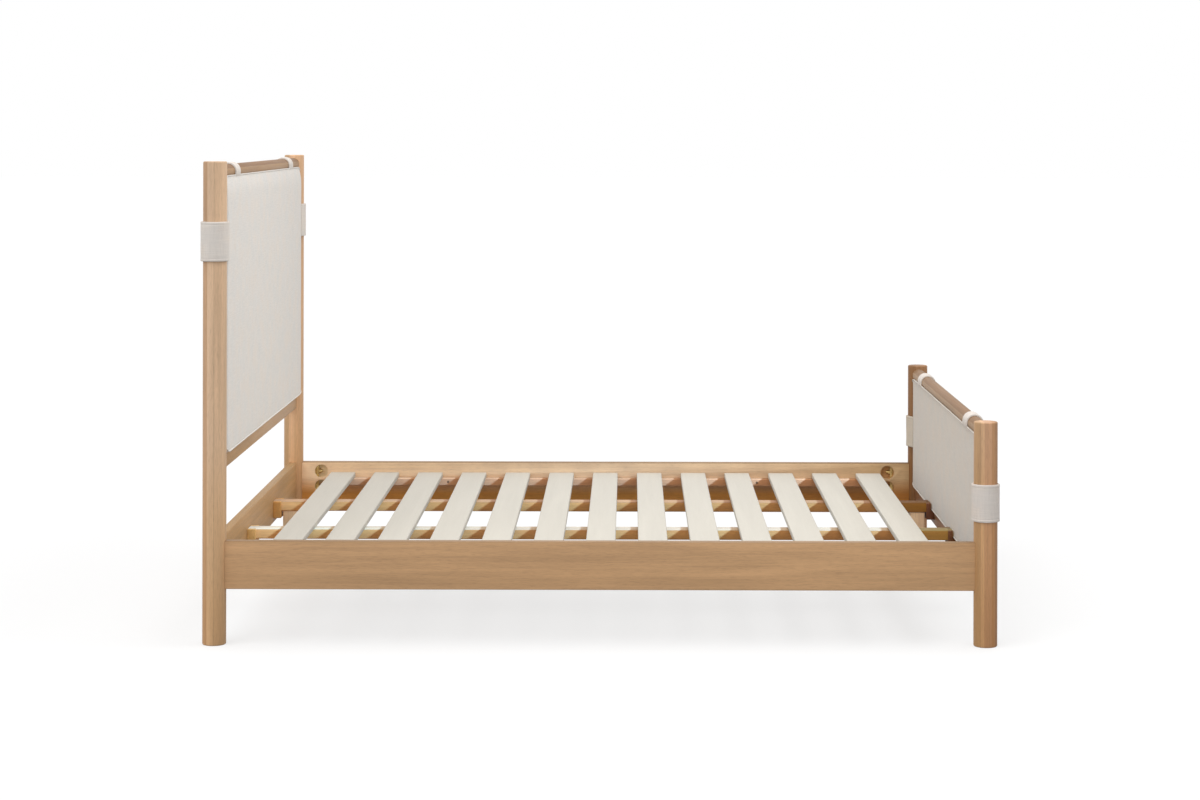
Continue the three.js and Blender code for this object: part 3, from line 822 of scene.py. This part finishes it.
def band(name, path, width_axis, centre, width, material, seed):
    """A hemmed band of doubled cloth swept along a path of points, open at both ends.

    The path is the middle of the band's inner face, and the cloth lies on its left side.
    """
    half = width / 2
    offset = Vector([seed * step for step in BAND_NOISE_STEP])
    even = [-half + width * column / BAND_COLUMNS for column in range(BAND_COLUMNS + 1)]
    seam = [half - HEM_WIDTH + step * STITCH_REACH for step in (-1, 0, 1)]
    rim = [half - step * HEM_ROLL for step in HEM_ROLL_SHARES]
    edges = sorted({*even, *seam, *rim, *(-x for x in seam), *(-x for x in rim)})

    lengths = [0.0]
    for start, end in zip(path, path[1:]):
        lengths.append(lengths[-1] + (end - start).length)

    builder = bmesh.new()
    cloth_map = builder.loops.layers.uv.new("cloth")
    rows = []
    for index, (point, length) in enumerate(zip(path, lengths)):
        before = path[max(index - 1, 0)]
        after = path[min(index + 1, len(path) - 1)]
        along = (after - before).normalized()
        normal = width_axis.cross(along).normalized()
        wander = noise.noise(Vector((length * EDGE_WANDER_RATE, 0, 0)) + offset)
        ring = []
        for outside, order in ((True, edges), (False, edges[::-1])):
            for across in order:
                stretch = 1 + EDGE_WANDER * wander * (1 if across > 0 else LOWER_EDGE_SHARE)
                spot = Vector((length * RIPPLE_RATE, across * RIPPLE_RATE, RIPPLE_LAYER)) + offset
                ripple = BAND_RIPPLE * noise.noise(spot)
                lift = band_height(half - abs(across)) + ripple if outside else 0.0
                place = point + width_axis * (centre + across * stretch) + normal * lift
                ring.append((builder.verts.new(place), length, across))
        rows.append(ring)
    for first, second in zip(rows, rows[1:]):
        cloth_skin(builder, cloth_map, first + first[:1], second + second[:1])
    builder.faces.new([vertex for vertex, _, _ in rows[0]][::-1])
    builder.faces.new([vertex for vertex, _, _ in rows[-1]])
    bmesh.ops.recalc_face_normals(builder, faces=builder.faces)
    piece = object_of(name, mesh_of(name, builder, BAND_SHARP), material)
    return piece, lengths[-1]


def arc(radius, start, end, steps, place):
    """Points on an arc in a plane; place turns two plane coordinates into a point."""
    angles = [start + (end - start) * step / steps for step in range(steps + 1)]
    return [place(radius * math.cos(angle), radius * math.sin(angle)) for angle in angles]


def straight(start, end):
    """Points on a line, without its last."""
    steps = STRAP_STRAIGHT_STEPS
    return [start.lerp(end, step / steps) for step in range(steps)]


def strap(end, side, material):
    """A strap from the panel's front edge round the outside of the post to its back edge."""
    node = f"{end}_strap_{side}"
    low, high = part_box(node)
    post = centre_of(f"post_{end}_{side}")
    radius = radius_of(f"post_{end}_{side}", "x") + STRAP_CLEARANCE[end]
    panel_side = abs(low.y if side == "right" else high.y) - STRAP_TUCK
    reach = abs(post.y) - panel_side
    half = PANEL_HALF[end] - BAND_THICKNESS
    distance = math.hypot(reach, half)
    tangent = math.acos(radius / distance) + math.atan2(half, reach)

    def place(away, across):
        return Vector((post.x + across, post.y + OUTWARD[side] * away, 0))

    first = place(-reach, half)
    last = place(-reach, -half)
    turn = math.pi - tangent
    round_post = arc(radius, turn, -turn, STRAP_ARC_STEPS, place)
    path = straight(first, round_post[0]) + round_post[:-1] + straight(round_post[-1], last)
    path.append(last)
    if side == "right":
        path.reverse()
    middle = (low.z + high.z) / 2
    height = high.z - low.z
    seed = STRAP_SEEDS[end] + SIDE_SEEDS[side]
    piece, length = band(
        f"{node}_band", path, Vector((0, 0, 1)), middle, height, material, seed
    )
    return stand_for(piece, node)


def loop(end, side, material):
    """A loop that comes out of the panel's lips and goes over the dowel."""
    node = f"{end}_loop_{side}"
    low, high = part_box(node)
    dowel = centre_of(f"{end}_top_dowel")
    radius = radius_of(f"{end}_top_dowel", "z") + LOOP_CLEARANCE

    def place(across, up):
        return Vector((dowel.x + across, 0, dowel.z + up))

    tail = [(radius - LOOP_TUCK * tuck, -LOOP_TAIL * drop) for tuck, drop in LOOP_TAIL_SHARES]
    path = [place(across, up) for across, up in tail]
    path += arc(radius, 0, math.pi, LOOP_ARC_STEPS, place)
    path += [place(-across, up) for across, up in reversed(tail)]
    middle = (low.y + high.y) / 2
    width = high.y - low.y
    seed = LOOP_SEEDS[end] + SIDE_SEEDS[side]
    piece, length = band(f"{node}_band", path, Vector((0, 1, 0)), middle, width, material, seed)
    return stand_for(piece, node)


def drawn_back(radius, depth):
    """How far a rounded edge draws back at a depth from where the rounding starts."""
    left = radius - min(max(depth, 0.0), radius)
    return radius - math.sqrt(radius**2 - left**2)


def cover_columns(half_width):
    """The places along Y of a cover's sections, with how thick each is as a share."""
    face_end = half_width - PANEL_SIDE_DEPTH
    columns = []
    for column in range(PANEL_COLUMNS + 1):
        columns.append((face_end * (2 * column / PANEL_COLUMNS - 1), 1.0))
    side = []
    for step in range(1, PANEL_SIDE_STEPS + 1):
        angle = math.pi / 2 * step / PANEL_SIDE_STEPS
        depth = math.sin(angle) ** PANEL_SIDE_SQUARENESS
        share = max(math.cos(angle), 0.0) ** PANEL_SIDE_SQUARENESS
        if step == PANEL_SIDE_STEPS:
            share = 0.0
        side.append((face_end + PANEL_SIDE_DEPTH * depth, share))
    return [(-y, share) for y, share in reversed(side)] + columns + side


def cover_section(end, low_z, high_z, dowel_z, groove):
    """One half of a section, from the middle of its bottom up its face to its middle at the top.

    Each point is its distance from the panel's middle plane, its height and whether it is held.
    """
    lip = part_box(f"{end}_panel")[1].z

    def half_at(z):
        share = min(max((lip - z) / PANEL_TAPER[end], 0.0), 1.0)
        full = PANEL_HALF[end] - PANEL_SLACK
        return PANEL_TOP_HALF + (full - PANEL_TOP_HALF) * math.sin(share * math.pi / 2)

    half = half_at(low_z)
    points = [(half * share, low_z, True) for share in PANEL_BASE_SHARES]
    for angle in PANEL_ROLL_ANGLES:
        turn = math.radians(angle)
        across = half - PANEL_ROLL * (1 - math.sin(turn))
        points.append((across, low_z + PANEL_ROLL * (1 - math.cos(turn)), True))
    first = low_z + PANEL_ROLL
    last = high_z - PANEL_LIP
    rows = PANEL_ROWS[end]
    for row in range(rows + 1):
        z = first + (last - first) * row / rows
        points.append((half_at(z), z, row in (0, rows)))
    for share in PANEL_TOP_SHARES:
        across = half_at(high_z) * share
        sunk = math.sqrt(max(groove**2 - across**2, 0.0))
        ceiling = dowel_z - sunk if across < groove else high_z
        points.append((across, min(high_z, ceiling), True))
    return points


def panel_cover(end):
    """An upholstered panel's cover as a grid of cloth, swollen over its padding."""
    node = f"{end}_panel"
    low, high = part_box(node)
    dowel = centre_of(f"{end}_top_dowel")
    groove = radius_of(f"{end}_top_dowel", "z") + LOOP_CLEARANCE
    half_width = (high.y - low.y) / 2

    builder = bmesh.new()
    cloth_map = builder.loops.layers.uv.new("cloth")
    rings = []
    held = []
    for y, share in cover_columns(half_width):
        corner = drawn_back(PANEL_CORNER, half_width - abs(y))
        section = cover_section(end, low.z + corner, high.z - corner, dowel.z, groove)
        whole = [(x * share, z, is_held) for x, z, is_held in section]
        whole += [(-x, z, is_held) for x, z, is_held in reversed(whole[1:-1])]
        ring = []
        travel = 0.0
        for index, (x, z, is_held) in enumerate(whole):
            if index:
                travel += math.hypot(x - whole[index - 1][0], z - whole[index - 1][1])
            vertex = builder.verts.new((dowel.x + x, y, z))
            ring.append((vertex, y, travel))
            if is_held or share < 1.0:
                held.append(vertex)
        rings.append(ring)
    for first, second in zip(rings, rings[1:]):
        girth = first[-1][2]
        rows = [ring + [(ring[0][0], ring[0][1], girth)] for ring in (first, second)]
        cloth_skin(builder, cloth_map, *rows)
    builder.verts.index_update()
    bmesh.ops.recalc_face_normals(builder, faces=builder.faces)
    held_indices = [vertex.index for vertex in held]
    ring_indices = [[vertex.index for vertex, _, _ in ring] for ring in rings]
    piece = object_of(f"{node}_cover", mesh_of(node, builder), linen[end])
    swell(piece, held_indices)
    roughen(piece, end)
    welts(piece, end, ring_indices)
    close_sides(piece)
    stand_for(piece, node)


def swell(piece, held):
    """Blows the cover up a little with a cloth simulation and keeps the result."""
    scene = bpy.context.scene
    pins = piece.vertex_groups.new(name="held")
    pins.add(held, 1.0, "REPLACE")
    start = [vertex.co.copy() for vertex in piece.data.vertices]
    modifier = piece.modifiers.new("swell", "CLOTH")
    settings = modifier.settings
    settings.quality = CLOTH_QUALITY
    settings.vertex_group_mass = "held"
    settings.use_pressure = True
    settings.uniform_pressure_force = CLOTH_PRESSURE
    settings.effector_weights.gravity = 0.0
    modifier.collision_settings.use_collision = False
    for number in range(1, CLOTH_FRAMES + 1):
        scene.frame_set(number)
    graph = bpy.context.evaluated_depsgraph_get()
    moved = piece.evaluated_get(graph).to_mesh()
    for vertex, before, after in zip(piece.data.vertices, start, moved.vertices):
        step = after.co - before
        length = step.length
        if length:
            vertex.co = before + step * (PANEL_SWELL * math.tanh(length / PANEL_SWELL) / length)
    piece.evaluated_get(graph).to_mesh_clear()
    piece.modifiers.remove(modifier)
    piece.vertex_groups.clear()
    scene.frame_set(1)


def roughen(piece, end):
    """Gives the cover the slight unevenness of cloth over padding."""
    offset = Vector(UNEVEN_PLACE[end])

    def unevenness(place, rate):
        return noise.noise(Vector((0, place.y * rate, place.z * rate)) + offset)

    for vertex in piece.data.vertices:
        fine = FINE_UNEVEN_SHARE * unevenness(vertex.co, FINE_UNEVEN_RATE)
        lift = unevenness(vertex.co, UNEVEN_RATE) + fine
        vertex.co += vertex.normal * PANEL_UNEVEN * lift


def close_sides(piece):
    """Joins the points that meet along the cover's sides, and smooths the cover once."""
    builder = bmesh.new()
    builder.from_mesh(piece.data)
    bmesh.ops.remove_doubles(builder, verts=builder.verts, dist=PANEL_SIDE_JOIN)
    bmesh.ops.recalc_face_normals(builder, faces=builder.faces)
    builder.to_mesh(piece.data)
    builder.free()
    piece.data.polygons.foreach_set("use_smooth", [True] * len(piece.data.polygons))
    smoother = piece.modifiers.new("smooth", "SUBSURF")
    smoother.levels = 1
    smoother.render_levels = 1


def welts(piece, end, rings):
    """A thin rolled seam round each face of a cover, from its bottom roll to its lip."""
    vertices = piece.data.vertices
    count = len(rings[0])
    first_row = len(PANEL_BASE_SHARES) + len(PANEL_ROLL_ANGLES)
    roll = first_row - 1
    lip = first_row + PANEL_ROWS[end]
    side = PANEL_SIDE_STEPS // 2
    last = len(rings) - 1 - side
    for face, name in ((1, "inner"), (-1, "outer")):
        low = roll if face > 0 else count - roll
        high = lip if face > 0 else count - lip
        climb = range(low, high + face, face)
        path = [rings[column][low] for column in range(side, last)]
        path += [rings[last][item] for item in climb]
        path += [rings[column][high] for column in range(last - 1, side, -1)]
        path += [rings[side][item] for item in reversed(climb)][:-1]
        outward = Vector((face, 0, 0)) * WELT_OUTWARD
        places = []
        for vertex in (vertices[index] for index in path):
            places.append(vertex.co + (vertex.normal + outward).normalized() * WELT_STAND)
        tube(f"{end}_panel_{name}_seam", places, linen[end])


def tube(name, places, material):
    """A closed tube of cloth that follows a ring of places."""
    following = places[1:] + places[:1]
    places = [a for a, b in zip(places, following) if (b - a).length > WELT_CLOSEST]
    builder = bmesh.new()
    cloth_map = builder.loops.layers.uv.new("cloth")
    rings = []
    travel = 0.0
    for index, place in enumerate(places):
        before = places[index - 1]
        after = places[(index + 1) % len(places)]
        travel += (place - before).length
        along = (after - before).normalized()
        across = along.cross(Vector((1, 0, 0))).normalized()
        out = across.cross(along).normalized()
        ring = []
        for side in range(WELT_SIDES):
            angle = 2 * math.pi * side / WELT_SIDES
            spot = place + (across * math.cos(angle) + out * math.sin(angle)) * WELT_RADIUS
            ring.append((builder.verts.new(spot), travel, angle * WELT_RADIUS))
        rings.append(ring + ring[:1])
    for first, second in zip(rings, rings[1:] + rings[:1]):
        cloth_skin(builder, cloth_map, first, second)
    bmesh.ops.recalc_face_normals(builder, faces=builder.faces)
    piece = object_of(name, mesh_of(name, builder), material)
    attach(piece, "root")


def screw(name, place, facing, turn):
    """A flat screw head with a cross recess, let in flush with the wood."""
    builder = bmesh.new()

    def ring(share, z):
        radius = SCREW_RADIUS * share
        angles = [2 * math.pi * side / SCREW_SIDES for side in range(SCREW_SIDES)]
        return [builder.verts.new((radius * math.cos(a), radius * math.sin(a), z)) for a in angles]

    def cross(shares, z):
        arm, half = (SCREW_RADIUS * share for share in shares)
        quarter = [(arm, -half), (arm, half), (half, half)]
        verts = []
        for _ in range(4):
            verts += [builder.verts.new((x, y, z)) for x, y in quarter]
            quarter = [(-y, x) for x, y in quarter]
        return verts

    sunk, rim, crown = (ring(share, z) for share, z in SCREW_OUTLINE)
    skin(builder, sunk, rim)
    skin(builder, rim, crown)
    builder.faces.new(sunk[::-1])
    mouth = cross(RECESS_MOUTH, SCREW_TOP)
    bed = cross(RECESS_BED, SCREW_TOP - RECESS_DEPTH)
    skin(builder, mouth[::-1], bed[::-1])
    builder.faces.new(bed)
    border = []
    for outline in (crown, mouth):
        for a, b in zip(outline, outline[1:] + outline[:1]):
            border.append(builder.edges.get((a, b)))
    bmesh.ops.triangle_fill(builder, edges=border, use_beauty=True)
    bmesh.ops.recalc_face_normals(builder, faces=builder.faces)
    piece = object_of(name, mesh_of(name, builder, SCREW_SHARP), screw_steel)
    piece.rotation_euler = facing.to_track_quat("Z", "Y").to_euler()
    piece.rotation_euler.rotate_axis("Z", turn)
    piece.location = place
    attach(piece, "root")


def screws(side):
    """The screws of one ledger and of the centre rail beside it."""
    low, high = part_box(f"ledger_{side}")
    inward = Vector((0, -OUTWARD[side], 0))
    face_y = high.y if side == "left" else low.y
    for number, (x, turn) in enumerate(LEDGER_SCREWS):
        place = Vector((x, face_y, (low.z + high.z) / 2))
        screw(f"ledger_screw_{side}_{number + 1}", place, inward, turn)
    low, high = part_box(f"centre_rail_{side}")
    place = Vector((high.x - RAIL_SCREW_INSET, (low.y + high.y) / 2, high.z))
    screw(f"centre_rail_screw_{side}", place, Vector((0, 0, 1)), RAIL_SCREW_TURN)


def split_by_ray(graph, lighting, seen, output):
    """Shows one shader to the camera, mirrors and glass, and another to all other rays."""
    rays = graph.add("ShaderNodeLightPath").outputs
    direct = graph.maths("MAXIMUM", rays["Is Camera Ray"], rays["Is Glossy Ray"])
    direct = graph.maths("MAXIMUM", direct, rays["Is Transmission Ray"])
    inputs = {"Fac": direct, 1: lighting.outputs[0], 2: seen.outputs[0]}
    mix = graph.add("ShaderNodeMixShader", inputs)
    graph.feed(output, {"Surface": mix.outputs[0]})


def floor():
    """A white floor that keeps the bed's shadow, with plain bounce for the bed itself."""
    mesh = bpy.data.meshes.new("floor")
    reach = FLOOR_REACH
    mesh.from_pydata(
        [(-reach, -reach, 0), (reach, -reach, 0), (reach, reach, 0), (-reach, reach, 0)],
        [],
        [(0, 1, 2, 3)],
    )
    graph = Graph(bpy.data.materials.new("floor_white"))
    graph.tree.nodes.remove(graph.tree.nodes["Principled BSDF"])
    glow = graph.add("ShaderNodeEmission", {"Strength": FLOOR_GLOW})
    shadow = graph.add("ShaderNodeBsdfDiffuse", {"Color": (*[FLOOR_SHADE] * 3, 1)})
    both = graph.add("ShaderNodeAddShader", {0: glow.outputs[0], 1: shadow.outputs[0]})
    plain = graph.add("ShaderNodeBsdfDiffuse", {"Color": (*[FLOOR_BOUNCE] * 3, 1)})
    split_by_ray(graph, plain, both, graph.tree.nodes["Material Output"])
    object_of("floor", mesh, graph.owner)


def world():
    """Even light all round, and plain white where the camera sees past the floor."""
    graph = Graph(bpy.data.worlds.new("studio"))
    bpy.context.scene.world = graph.owner
    graph.tree.nodes.clear()
    white = (1, 1, 1, 1)
    light = graph.add("ShaderNodeBackground", {"Color": white, "Strength": WORLD_STRENGTH})
    seen = graph.add("ShaderNodeBackground", {"Color": white, "Strength": 1.0})
    split_by_ray(graph, light, seen, graph.add("ShaderNodeOutputWorld"))


def lamp_of(name, kind, strength, axis, direction):
    """A lamp with one of its axes turned along a direction."""
    data = bpy.data.lights.new(name, kind)
    data.energy = strength
    lamp = bpy.data.objects.new(name, data)
    bpy.context.scene.collection.objects.link(lamp)
    lamp.rotation_euler = Vector(direction).to_track_quat(axis, "Y").to_euler()
    return lamp


def sky(name, toward, strength, width):
    """Light from far away, as soft as a broad panel."""
    lamp = lamp_of(name, "SUN", strength, "Z", toward)
    lamp.data.angle = math.radians(width)
    return lamp


def softbox(name, place, facing, size, power):
    """A square softbox near the bed."""
    lamp = lamp_of(name, "AREA", power, "-Z", facing)
    lamp.data.size = size
    lamp.location = place


def group_of(name, pieces):
    """A collection of these pieces, for a light to be linked to."""
    group = bpy.data.collections.new(name)
    for piece in pieces:
        group.objects.link(bpy.data.objects[piece])
    return group


def slat_sun():
    """The sun that only the slats block, and that only the wood under them receives."""
    lamp = sky("slat_sun", **SLAT_SUN)
    lamp.data.color = SLAT_SUN_TINT
    lamp.visible_glossy = False
    lamp.light_linking.receiver_collection = group_of("under_slats", UNDER_SLATS)
    slat_pieces = [f"{node}_planed" for node in slat_nodes]
    lamp.light_linking.blocker_collection = group_of("slats", slat_pieces)


def camera():
    """The camera of the photograph."""
    data = bpy.data.cameras.new("camera")
    data.lens = CAMERA_LENS
    data.sensor_width = CAMERA_SENSOR
    data.shift_x, data.shift_y = CAMERA_SHIFT
    data.clip_end = CAMERA_REACH
    piece = bpy.data.objects.new("camera", data)
    bpy.context.scene.collection.objects.link(piece)
    piece.location = CAMERA_PLACE
    piece.rotation_euler = (math.pi / 2, CAMERA_ROLL, CAMERA_YAW)
    bpy.context.scene.camera = piece
    bpy.context.scene.view_settings.view_transform = "Standard"


zinc = metal("yellow_zinc_plate", ZINC_COLOUR, ZINC_ROUGHNESS)
screw_steel = metal("dark_screw_steel", SCREW_COLOUR, SCREW_ROUGHNESS)
linen = {end: cloth(f"linen_cover_{end}", COVER_COLOURS[end], COVER_SEED) for end in ENDS}
band_linen = {end: cloth(f"linen_band_{end}", BAND_COLOURS[end], BAND_SEED) for end in ENDS}
far_foot_shaded_linen = cloth("linen_band_foot_right", FAR_FOOT_STRAP_SHADE_COLOUR, BAND_SEED)

for number, node in enumerate(POST_COLOURS):
    turned_post(node, number)
for number, end in enumerate(ENDS):
    turned_dowel(end, number)
for number, node in enumerate(BOARDS):
    board(node, number)

fresh_and_painted_light_oak = {end: wood(f"oak_pocket_{end}", "X", POCKET_COLOURS[end], POCKET_SEED) for end in ENDS}
for side in SIDES:
    for end in ENDS:
        line_pockets(side, end, fresh_and_painted_light_oak[end])

slat_nodes = sorted(name for name in nodes if name.startswith("slat_"))
for number, node in enumerate(slat_nodes):
    slat(node, number)
for node in nodes:
    if node.startswith(("rail_bolt_", "half_moon_nut_")):
        eased_copy(node, zinc, ZINC_EDGE)

for end in ENDS:
    for side in SIDES:
        shaded = (end, side) == ("foot", "right")
        strap(end, side, far_foot_shaded_linen if shaded else band_linen[end])
        loop(end, side, band_linen[end])
for end in ENDS:
    panel_cover(end)
for side in SIDES:
    screws(side)

floor()
world()
sky("top_light", **TOP_LIGHT)
softbox("inner_light", **INNER_LIGHT)
sky("front_light", **FRONT_LIGHT)
slat_sun()
camera()
